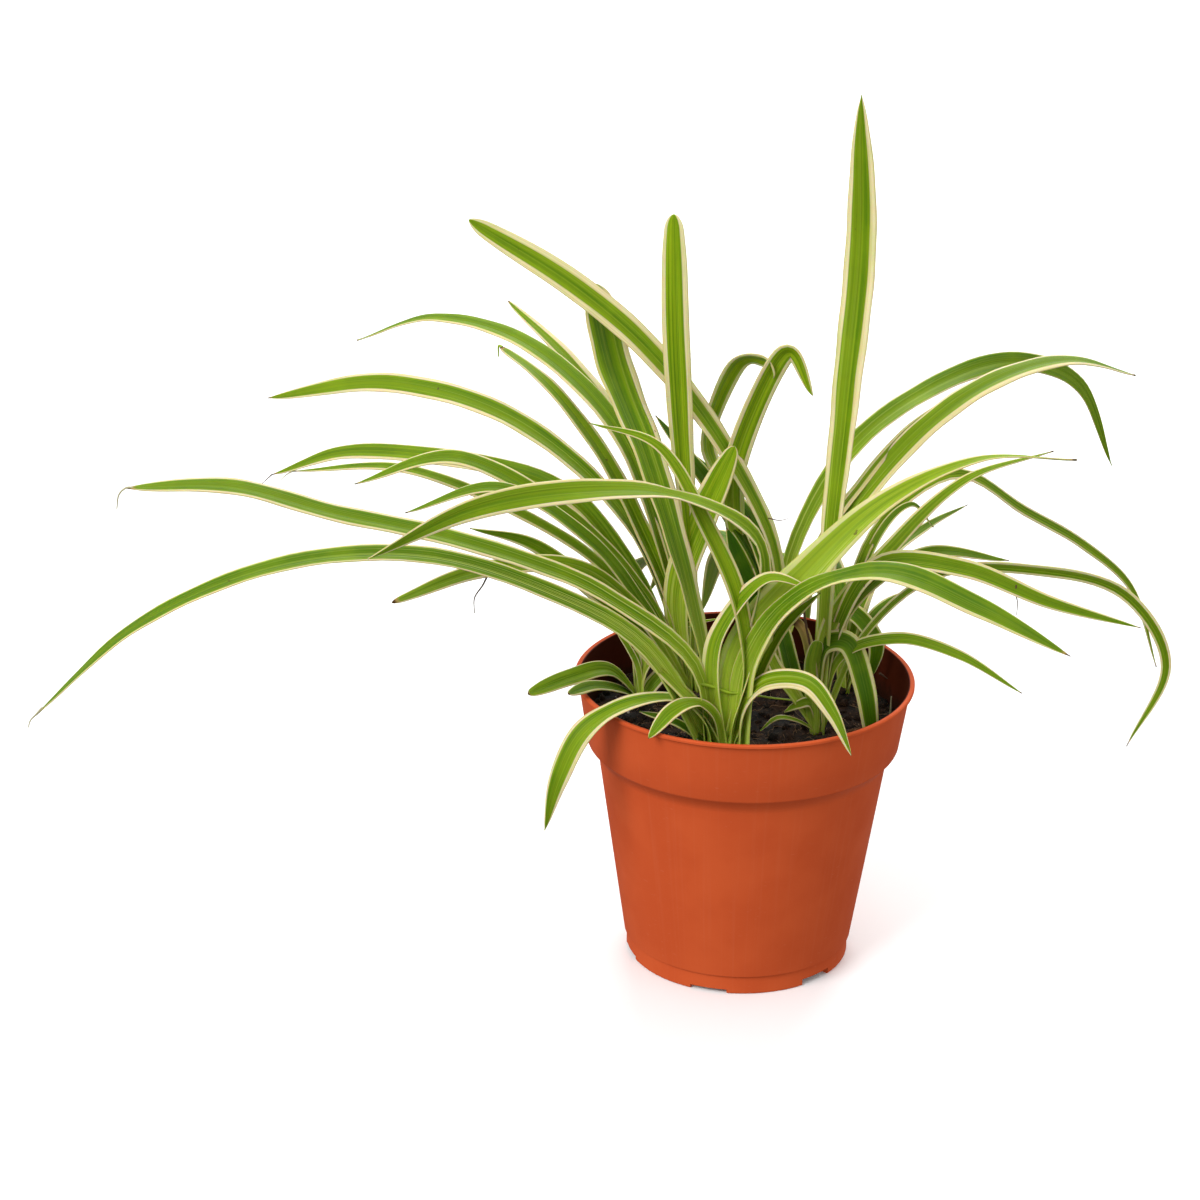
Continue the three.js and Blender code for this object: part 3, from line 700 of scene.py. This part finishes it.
def pot_material(look):
    """Moulded terracotta-coloured plastic: faint mottling, scuffs, painted shade on the inner wall, and
    compost dust inside
    """
    material, tree, shader = start_material("moulded_plastic", ("Specular IOR Level", 0.05))
    place = object_place(tree)
    x, y, z = parts_of(tree, place)
    around = maths(tree, "ARCTAN2", y, x)
    mottle = noise_of(tree, place, 38, 3)
    flow = stretched_noise(tree, around, 40, z, 9, 0, 2)
    scuff = stretched_noise(tree, around, 16, z, 900, 0, 3)
    scuffed = times(tree, ramp(tree, scuff, 0.62, 0.75), ramp(tree, mottle, 0.5, 0.62, 0, 0.3))

    level = vector_of(tree, x, y, 0)
    radius = add_node(tree, "ShaderNodeVectorMath", [(0, level)], operation="LENGTH")
    wall_radius = plus(tree, times(tree, z, COLLAR_SLOPE), COLLAR_MIDDLE * MM)
    inward = minus(tree, wall_radius, radius.outputs["Value"])
    inside = times(tree, ramp(tree, inward, -0.1 * MM, 0.1 * MM),
                   ramp(tree, z, (COLLAR_START - 0.5) * MM, (COLLAR_START + 0.5) * MM))
    dirt = noise_of(tree, place, 170, 4, roughness=0.65)
    dirt_height = plus(tree, z, times(tree, dirt, DIRT_WANDER * MM))
    low_dirt = times(tree, inside, ramp(tree, dirt_height, DIRT_ENDS[0] * MM, DIRT_ENDS[1] * MM, 0.85, 0))
    surface = layered(tree, look.colour, [
        (ramp(tree, mottle, 0.3, 0.7), look.dark_colour),
        (ramp(tree, flow, 0.5, 0.8, 0, 0.1), look.dusty_colour),
        (scuffed, look.dusty_colour),
        # The collar's inner wall is painted dark, as the shade that falls inside the pot
        (times(tree, inside, 0.9), look.painted_inner_shade),
        (low_dirt, look.dirt),
    ])
    feed(tree, shader.inputs["Base Color"], surface)
    rough = ramp(tree, mottle, 0.3, 0.7, look.roughness - 0.04, look.roughness + 0.06)
    rough = maths(tree, "ADD", rough, times(tree, low_dirt, 0.4), clamp=True)
    feed(tree, shader.inputs["Roughness"], rough)
    grain = noise_of(tree, place, 1400, 2)
    swell = noise_of(tree, place, 60, 1)
    add_bump(tree, shader, plus(tree, times(tree, grain, 0.08), swell), 0.0005, 0.3)
    return material


# Painted shade: the hollows of the grain, where the bump is low, are drawn near-black
PAINTED_HOLLOW_SHADE = (0.004, 0.003, 0.002, 1)


def compost_material(look, name, dark, light, speck_scale):
    """Dark crumbly peat, with damp and dry grains and painted shade in the hollows between them"""
    material, tree, shader = start_material(name, ("Specular IOR Level", 0.3))
    place = object_place(tree)
    coarse = noise_of(tree, place, 120, 4)
    grains = noise_of(tree, place, speck_scale, 5, roughness=0.7)
    surface = layered(tree, dark, [
        (ramp(tree, coarse, 0.35, 0.7), light),
        (ramp(tree, grains, 0.54, 0.74, 0, 0.75), look.dry_grain),
        # Painted shade in the hollows between the grains
        (ramp(tree, grains, 0.45, 0.25, 0, 0.7), PAINTED_HOLLOW_SHADE),
    ])
    feed(tree, shader.inputs["Base Color"], surface)
    feed(tree, shader.inputs["Roughness"], ramp(tree, coarse, 0.3, 0.7, 0.75, 0.95))
    add_bump(tree, shader, grains, 0.0012, 0.8)
    return material


def plain_material(name, base, roughness, variation):
    """One base colour with a soft change over the surface"""
    material, tree, shader = start_material(name, ("Roughness", roughness))
    change = noise_of(tree, object_place(tree), variation, 3)
    darker = (*(value * 0.7 for value in base[:3]), 1)
    feed(tree, shader.inputs["Base Color"], blend(tree, ramp(tree, change, 0.3, 0.7), base, darker))
    return material


# Pot

# Its wall's outside from the middle of the foot up, round the lip, and down the inside to the floor
POT_PROFILE = [
    (0, 0), (49.4, 0), (50, 0.6), (50, 8.4), (51.2, 9.2),
    (57.6, 52), (62.9, 87.6), (64, 95),
    (64.2, 96.3), (65.2, 98.2), (66.6, 100.1), (68, 101.6), (69, 102.5), (69.2, 103),
    (71.2, 116), (73.35, 129.9),
    (73.8, 130.15), (74.5, 130.2), (75, 130.6), (75, 131.5), (74.5, 131.95), (73.6, 132), (72.6, 131.6),
    (71.9, 128), (67.7, 103.5), (62.7, 95.8),
    (49.8, 9.9), (48.6, 8.4), (48.6, 1.8), (0, 1.8),
]
POT_SIDES = 128
# How far up each drainage slot is cut, the cutters' size, how far out they stand, and the first one's angle
SLOT_HEIGHTS = (2, 3.2, 3.2, 3.2, 3.2, 2)
SLOT_WIDTH = 16.6
SLOT_DEPTH = 16
SLOT_CENTRE = 48
FIRST_SLOT = -106.4


class PotLook(PropertyGroup):
    """The nursery pot's finish"""

    colour: tint("Plastic", (201, 86, 44), "The moulded plastic's colour")
    dark_colour: tint("Darker plastic", (194, 80, 40), "The plastic's mottling")
    dusty_colour: tint("Dust", (208, 116, 82), "Dust and scuffs on the plastic")
    # Painted shade: the inner wall is drawn in this dark colour in place of the shade inside the pot
    painted_inner_shade: tint("Inside", (38, 12, 8), "The shaded inner wall")
    dirt: tint("Dirt", (46, 26, 18), "Compost stuck to the inner wall")
    roughness: amount("Roughness", 0.6, "How dull the plastic is", max=1)


class LeafLook(PropertyGroup):
    """The leaves' thickness and colours"""

    thickness: length("Thickness", 0.9, "A blade's thickness along its middle")
    edge_thickness: length("Edge thickness", 0.4, "A blade's thickness at its edges")
    green: tint("Green", (100, 138, 0), "The blade's green")
    light_green: tint("Light green", (146, 172, 18), "The lighter bands of the green")
    # Also painted shade: leaves deep in the clump are drawn towards this green
    dark_and_shaded_green: tint("Dark green", (56, 98, 2), "The green of old inner leaves")
    streak: tint("Streak", (206, 212, 112), "The pale lines along the blade")
    cream: tint("Cream", (226, 211, 172), "The blade's margins")
    shaded_cream: tint("Shaded cream", (204, 190, 126), "The duller lines of the margins")
    root_green: tint("Root green", (176, 196, 62), "The pale root of a blade")
    underside: tint("Underside", (122, 150, 60), "The dull side of a blade")
    tan: tint("Tan", (176, 140, 86), "Where a tip has begun to dry")
    brown: tint("Brown", (84, 58, 34), "Dried tips and freckles")
    dry_thread: tint("Dry thread", (176, 170, 132), "Pale threads at the tips")
    roughness: amount("Roughness", 0.5, "How dull the blades are", max=1)


class CompostLook(PropertyGroup):
    """The compost's grain and colours"""

    radius: length("Radius", 68.3, "The compost's radius at its surface")
    level: length("Level", 111, "The height of the compost's surface")
    dark: tint("Peat", (13, 8, 5), "Damp peat")
    light: tint("Dry peat", (54, 33, 20), "Peat that has dried")
    dry_grain: tint("Dry grain", (136, 98, 64), "The palest grains")
    coir: tint("Coir", (96, 60, 28), "The heap of coir")
    perlite: tint("Perlite", (216, 208, 196), "The white grains")
    fibre: tint("Fibre", (150, 116, 82), "Threads of root and coir")
    crumbs: IntProperty(name="Crumbs", description="How many lumps lie on the surface", default=900, min=0)
    fibres: IntProperty(name="Fibres", description="How many threads lie on the surface", default=220, min=0)


class StageLook(PropertyGroup):
    """Camera, lights and floor"""

    distance: length("Distance", 1500, "From the camera to the point it looks at")
    elevation: amount("Elevation", math.radians(22.14), "The camera's angle above level", subtype="ANGLE")
    lens: amount("Focal length", 102.9, "In millimetres on a 36 mm sensor")
    roll: amount("Roll", math.radians(0.78), "Turn about the line of sight", low=-math.pi, subtype="ANGLE")
    floor: tint("Floor", (250, 250, 250), "The plain floor's colour")
    light_above: amount("Light above", 0.8, "How strong the soft light from above is")
    light_below: amount("Light below", 0.38, "How strong the soft light from below is")


class PlantSettings(PropertyGroup):
    """All settings of the plant"""

    pot: PointerProperty(type=PotLook)
    leaves: PointerProperty(type=LeafLook)
    compost: PointerProperty(type=CompostLook)
    stage: PointerProperty(type=StageLook)


def turned_wall(profile, sides):
    """A wall spun about the upright axis from a chain of points, extruded one by one from the origin"""
    deselect_all()
    bpy.ops.mesh.primitive_plane_add(size=MM)
    wall = bpy.context.object
    bpy.ops.object.mode_set(mode="EDIT")
    bpy.ops.mesh.select_all(action="SELECT")
    bpy.ops.mesh.merge(type="CENTER")
    for before, after in zip(profile, profile[1:]):
        step = Vector((after[0] - before[0], 0, after[1] - before[1])) * MM
        bpy.ops.mesh.extrude_region_move(TRANSFORM_OT_translate={"value": step})
    bpy.ops.mesh.select_all(action="SELECT")
    bpy.ops.mesh.spin(steps=sides, angle=math.tau, center=(0, 0, 0), axis=(0, 0, 1))
    bpy.ops.mesh.select_all(action="SELECT")
    bpy.ops.mesh.remove_doubles(threshold=0.01 * MM)
    bpy.ops.mesh.normals_make_consistent(inside=False)
    bpy.ops.object.mode_set(mode="OBJECT")
    return wall


class PLANT_OT_mould_pot(Operator):
    """Spin the pot's wall, cut its drainage slots and give it its plastic"""

    bl_idname = "plant.mould_pot"
    bl_label = "Mould the Pot"

    def execute(self, context):
        look = context.scene.spider_plant.pot
        pot = turned_wall(POT_PROFILE, POT_SIDES)
        cutters = []
        for index, height in enumerate(SLOT_HEIGHTS):
            turn = Matrix.Rotation(math.radians(FIRST_SLOT + index * 360 / len(SLOT_HEIGHTS)), 4, "Z")
            deselect_all()
            bpy.ops.mesh.primitive_cube_add(size=1)
            cutter = context.object
            size = Matrix.Diagonal((SLOT_DEPTH * MM, SLOT_WIDTH * MM, height * 2 * MM, 1))
            cutter.data.transform(turn @ Matrix.Translation((SLOT_CENTRE * MM, 0, 0)) @ size)
            cutters.append(cutter)
        cutter = join(cutters, "slot_cutters")
        cut = pot.modifiers.new("slots", "BOOLEAN")
        cut.operation = "DIFFERENCE"
        cut.solver = "EXACT"
        cut.object = cutter
        apply_modifiers(pot)
        bpy.data.objects.remove(cutter)
        pot.name = "nursery_pot"
        settle(pot, pot_material(look), angle=32)
        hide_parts("pot")
        return {"FINISHED"}


# Compost

# A heap of pale coir beside the right crown: its centre in plan and its reach
COIR_HEAP = (44, -22, 9)
# The crust's grid and thickness, and how high the surface's waves, clods and grit stand. The waves
# fade out between the place named here and the edge, and both scales are in lumps a metre.
CRUST_CELLS = 130
CRUST_THICKNESS = 3
CRUST_LIFT = 0.4
WAVE_HEIGHT = 1.5
CLOD_HEIGHT = 1.1
GRIT_HEIGHT = 0.35
WAVES_FADE_FROM = 50
CLOD_SCALE = 90
GRIT_SCALE = 420
FIBRE_THICKNESS = 0.26
FIBRE_STEP = 1.6


def surface_height(x, y, look):
    """The compost's height at a place, with its lumps and hollows"""
    coarse = math.sin(x / MM * 0.19 + 1) * math.cos(y / MM * 0.23)
    medium = math.sin(x / MM * 0.41 - y / MM * 0.37) * 0.6
    edge = 1 - eased(math.hypot(x, y), WAVES_FADE_FROM * MM, look.radius)
    fine = noise.fractal(Vector((x, y, 0)) * CLOD_SCALE, 0.9, 2.1, 4)
    rough = noise.noise(Vector((x, y, 0.3)) * GRIT_SCALE)
    lumps = WAVE_HEIGHT * (coarse + medium) * edge + CLOD_HEIGHT * fine + GRIT_HEIGHT * rough
    return look.level + lumps * MM


def place_in(circle, chance):
    """A random place in a circle that is given by its centre and its radius"""
    x, y, reach = circle
    radius = reach * math.sqrt(chance.random())
    angle = chance.uniform(0, math.tau)
    return x + radius * math.cos(angle), y + radius * math.sin(angle)


class PLANT_OT_fill_compost(Operator):
    """Lay the compost's crumbly surface with its lumps, fibres and white grains"""

    bl_idname = "plant.fill_compost"
    bl_label = "Fill the Compost"

    def execute(self, context):
        look = context.scene.spider_plant.compost
        chance = random.Random(11)
        peat = compost_material(look, "peat", look.dark, look.light, 700)
        soil = next(o for o in bpy.data.objects if o.name == "soil")
        soil.data.materials.clear()
        soil.data.materials.append(peat)

        deselect_all()
        bpy.ops.mesh.primitive_grid_add(
            x_subdivisions=CRUST_CELLS, y_subdivisions=CRUST_CELLS, size=2.04 * look.radius
        )
        crust = context.object
        cells = bmesh.new()
        cells.from_mesh(crust.data)
        outside = [v for v in cells.verts if v.co.xy.length > look.radius]
        bmesh.ops.delete(cells, geom=outside, context="VERTS")
        for vertex in cells.verts:
            vertex.co.z = surface_height(vertex.co.x, vertex.co.y, look) + CRUST_LIFT * MM
        cells.to_mesh(crust.data)
        cells.free()
        skin = crust.modifiers.new("skin", "SOLIDIFY")
        skin.thickness = CRUST_THICKNESS * MM
        skin.offset = -1
        apply_modifiers(crust)
        crust.name = "compost_crust"
        settle(crust, peat)

        # Each kind of lump: its name, count, sizes, how much of its size it stands up, place and finish
        everywhere = (0, 0, look.radius * 0.985)
        heap = [size * MM for size in COIR_HEAP]
        crumb = compost_material(look, "crumb", look.dark, look.light, 1500)
        coir = compost_material(look, "coir", look.coir, look.light, 1500)
        perlite = plain_material("perlite", look.perlite, 0.9, 900)
        kinds = [
            ("compost_crumbs", look.crumbs, (0.6, 2.6), 0.4, everywhere, crumb),
            ("coir_heap", 90, (0.5, 2), 0.8, heap, coir),
            ("perlite", 36, (0.4, 1), 0.3, everywhere, perlite),
        ]
        for name, count, sizes, stand, circle, material in kinds:
            lumps = self.scatter_lumps(look, chance, count, sizes, stand, circle)
            settle(join(lumps, name), material)
        fibres = self.scatter_fibres(look, chance)
        settle(fibres, plain_material("fibre", look.fibre, 0.8, 300))
        return {"FINISHED"}

    def scatter_lumps(self, look, chance, count, sizes, stand, circle):
        """Rough lumps, modelled once and copied over a circle of the surface"""
        deselect_all()
        bpy.ops.mesh.primitive_ico_sphere_add(subdivisions=2, radius=1)
        lump = bpy.context.object
        for vertex in lump.data.vertices:
            vertex.co *= 1 + 0.55 * noise.noise(vertex.co * 1.7 + Vector((5, count, 0)))
        made = []
        for _ in range(count):
            x, y = place_in(circle, chance)
            size = chance.uniform(sizes[0] ** 0.5, sizes[1] ** 0.5) ** 2 * MM
            z = surface_height(x, y, look) + size * stand
            axis = Vector((1, chance.random(), 0.3)).normalized()
            turn = Matrix.Rotation(chance.uniform(0, math.tau), 4, axis)
            shape = Matrix.Diagonal((size, size * chance.uniform(0.6, 1), size * chance.uniform(0.5, 0.9), 1))
            mesh = lump.data.copy()
            mesh.transform(Matrix.Translation((x, y, z)) @ turn @ shape)
            made.append(new_object("crumb", mesh))
        bpy.data.objects.remove(lump)
        return made

    def scatter_fibres(self, look, chance):
        """Fine threads of root and coir that lie over the crumbs"""
        curve = start_curve("coir_fibres", FIBRE_THICKNESS * MM, 0)
        for _ in range(look.fibres):
            x, y = place_in((0, 0, look.radius - 3 * MM), chance)
            heading = chance.uniform(0, math.tau)
            thread = curve.splines.new("POLY")
            steps = chance.randint(4, 9)
            thread.points.add(steps)
            for index in range(steps + 1):
                inside = min(1, (look.radius - MM) / max(math.hypot(x, y), MM))
                x *= inside
                y *= inside
                z = surface_height(x, y, look) + chance.uniform(0.6, 1.8) * MM
                thread.points[index].co = (x, y, z, 1)
                thread.points[index].radius = 1 - 0.6 * index / steps
                heading += chance.uniform(-0.7, 0.7)
                x += math.cos(heading) * FIBRE_STEP * MM
                y += math.sin(heading) * FIBRE_STEP * MM
        return curve_to_mesh(curve)


class PLANT_OT_grow_crowns(Operator):
    """Bend one modelled blade into every leaf and join each crown's leaves"""

    bl_idname = "plant.grow_crowns"
    bl_label = "Grow the Crowns"

    def execute(self, context):
        look = context.scene.spider_plant.leaves
        material = leaf_material(look)
        blade = model_blade()
        seed = 1
        for name, crown in CROWNS.items():
            leaves = []
            for row in crown["leaves"]:
                leaves.append(bend_blade(blade, crown, row, seed, look))
                seed += 1
            piece = join(leaves, name + "_leaves")
            settle(piece, material)
            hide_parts(name)
        bpy.data.objects.remove(blade)
        return {"FINISHED"}


class PLANT_OT_lay_threads(Operator):
    """Draw the dry threads and twigs that hang at the leaves' tips and stand among their feet"""

    bl_idname = "plant.lay_threads"
    bl_label = "Lay the Threads"

    def execute(self, context):
        look = context.scene.spider_plant.leaves
        kinds = [
            ("dark_threads", DARK_THREADS, plain_material("dry_brown", look.brown, 0.8, 200)),
            ("green_threads", GREEN_THREADS, plain_material("thread_green", look.light_green, 0.5, 200)),
            ("pale_threads", PALE_THREADS, plain_material("dry_pale", look.dry_thread, 0.7, 200)),
        ]
        for name, rows, material in kinds:
            settle(self.draw_threads(rows, name), material)
        return {"FINISHED"}

    def draw_threads(self, rows, name):
        """The threads of one table, each thinner towards its end"""
        curve = start_curve(name, MM, 2, caps=True)
        for crown, toward, places, thick in rows:
            points = spine_points(CROWNS[crown], {"toward": toward, "by": places, "root": (0, 0)})[1:]
            thread = curve.splines.new("POLY")
            thread.points.add(THREAD_STEPS)
            for index in range(THREAD_STEPS + 1):
                share = index / THREAD_STEPS
                thread.points[index].co = (*spine(points, share), 1)
                thread.points[index].radius = thick * (1 - 0.6 * share)
        return curve_to_mesh(curve)


# Stage

# The point that the camera looks at, and the soft square lights with their places, sizes and power.
# The lights are in metres and watts.
CAMERA_TARGET = (-64.2, 0, 166.9)
LIGHTS = [
    ("key", (-1.5, -1.5, 1.7), 1.3, 50),
    ("fill", (1.7, -1.1, 1.1), 1.6, 5),
    ("back", (0.3, 1.9, 1.7), 1.6, 42),
]
LIGHTS_AIM = Vector((0, 0, 0.15))


class PLANT_OT_set_stage(Operator):
    """Set the pale floor, the soft lights and the camera"""

    bl_idname = "plant.set_stage"
    bl_label = "Set the Stage"

    def execute(self, context):
        look = context.scene.spider_plant.stage
        deselect_all()
        bpy.ops.mesh.primitive_plane_add(size=60)
        floor = context.object
        floor.name = "floor"
        floor.data.materials.append(plain_floor(look))
        floor.visible_diffuse = False
        floor.visible_glossy = False

        target = Vector(CAMERA_TARGET) * MM
        ahead = Vector((0, math.cos(look.elevation), -math.sin(look.elevation)))
        camera_data = bpy.data.cameras.new("camera")
        camera_data.lens = look.lens
        camera_data.sensor_width = 36
        camera_data.clip_end = 100
        camera = new_object("camera", camera_data)
        camera.location = target - ahead * look.distance
        camera.rotation_euler = (
            ahead.to_track_quat("-Z", "Y").to_matrix() @ Matrix.Rotation(look.roll, 3, "Z")
        ).to_euler()
        context.scene.camera = camera

        for light in LIGHTS:
            self.add_light(*light)
        context.scene.world = studio_world(look)
        context.scene.view_settings.view_transform = "Standard"
        return {"FINISHED"}

    def add_light(self, name, place, size, power):
        light_data = bpy.data.lights.new(name, "AREA")
        light_data.size = size
        light_data.energy = power
        light = new_object(name, light_data)
        light.location = place
        light.rotation_euler = (LIGHTS_AIM - Vector(place)).to_track_quat("-Z", "Y").to_euler()


def studio_world(look):
    """Even light from above and much less from below"""
    world = bpy.data.worlds.new("studio")
    world.use_nodes = True
    tree = world.node_tree
    direction = add_node(tree, "ShaderNodeTexCoord").outputs["Generated"]
    upward = parts_of(tree, direction)[2]
    strength = ramp(tree, upward, -0.25, 0.15, look.light_below, look.light_above)
    background = tree.nodes["Background"]
    background.inputs["Color"].default_value = (1, 1, 1, 1)
    feed(tree, background.inputs["Strength"], strength)
    return world


def plain_floor(look):
    material, tree, shader = start_material("floor", ("Roughness", 0.9))
    change = noise_of(tree, object_place(tree), 3, 2)
    duller = (*(value * 0.98 for value in look.floor[:3]), 1)
    feed(tree, shader.inputs["Base Color"], blend(tree, change, look.floor, duller))
    return material


class PLANT_PT_sidebar(Panel):
    """Lists the steps that dress the plant"""

    bl_idname = "PLANT_PT_sidebar"
    bl_label = "Potted Spider Plant"
    bl_space_type = "VIEW_3D"
    bl_region_type = "UI"
    bl_category = "Plant"

    def draw(self, context):
        for step in OPERATORS:
            self.layout.operator(step.bl_idname)


OPERATORS = [
    PLANT_OT_set_stage,
    PLANT_OT_mould_pot,
    PLANT_OT_fill_compost,
    PLANT_OT_grow_crowns,
    PLANT_OT_lay_threads,
]
CLASSES = [PotLook, LeafLook, CompostLook, StageLook, PlantSettings, *OPERATORS, PLANT_PT_sidebar]


def register():
    for item in CLASSES:
        bpy.utils.register_class(item)
    bpy.types.Scene.spider_plant = PointerProperty(type=PlantSettings)


def unregister():
    del bpy.types.Scene.spider_plant
    for item in reversed(CLASSES):
        bpy.utils.unregister_class(item)


def main():
    register()
    bpy.ops.plant.set_stage()
    bpy.ops.plant.mould_pot()
    bpy.ops.plant.fill_compost()
    bpy.ops.plant.grow_crowns()
    bpy.ops.plant.lay_threads()


if __name__ == "__main__":
    main()
